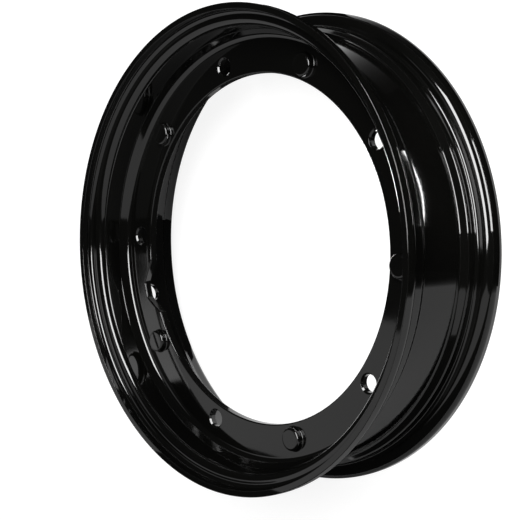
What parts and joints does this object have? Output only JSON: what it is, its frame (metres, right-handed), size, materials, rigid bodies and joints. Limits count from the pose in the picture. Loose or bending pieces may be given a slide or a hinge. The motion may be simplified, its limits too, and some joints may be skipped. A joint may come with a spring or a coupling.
{
  "type": "scooter wheel rim",
  "caption": "One-piece drop-centre wheel rim for a scooter with rolled lips, a flat mounting web with stud holes and raised bosses, and a valve notch.",
  "frame": {"origin": "on the axle line, in the plane of the rear lip's end, which the rim stands on", "axes": "+Z along the axle line towards the front of the wheel, +X through the valve hole"},
  "size_m": [0.27, 0.27, 0.0728],
  "materials": {
    "gloss_black_paint": "high-gloss black paint on cast aluminium"
  },
  "bodies": {
    "root": {"wheel_rim": "gloss_black_paint"}
  },
  "joints": []
}
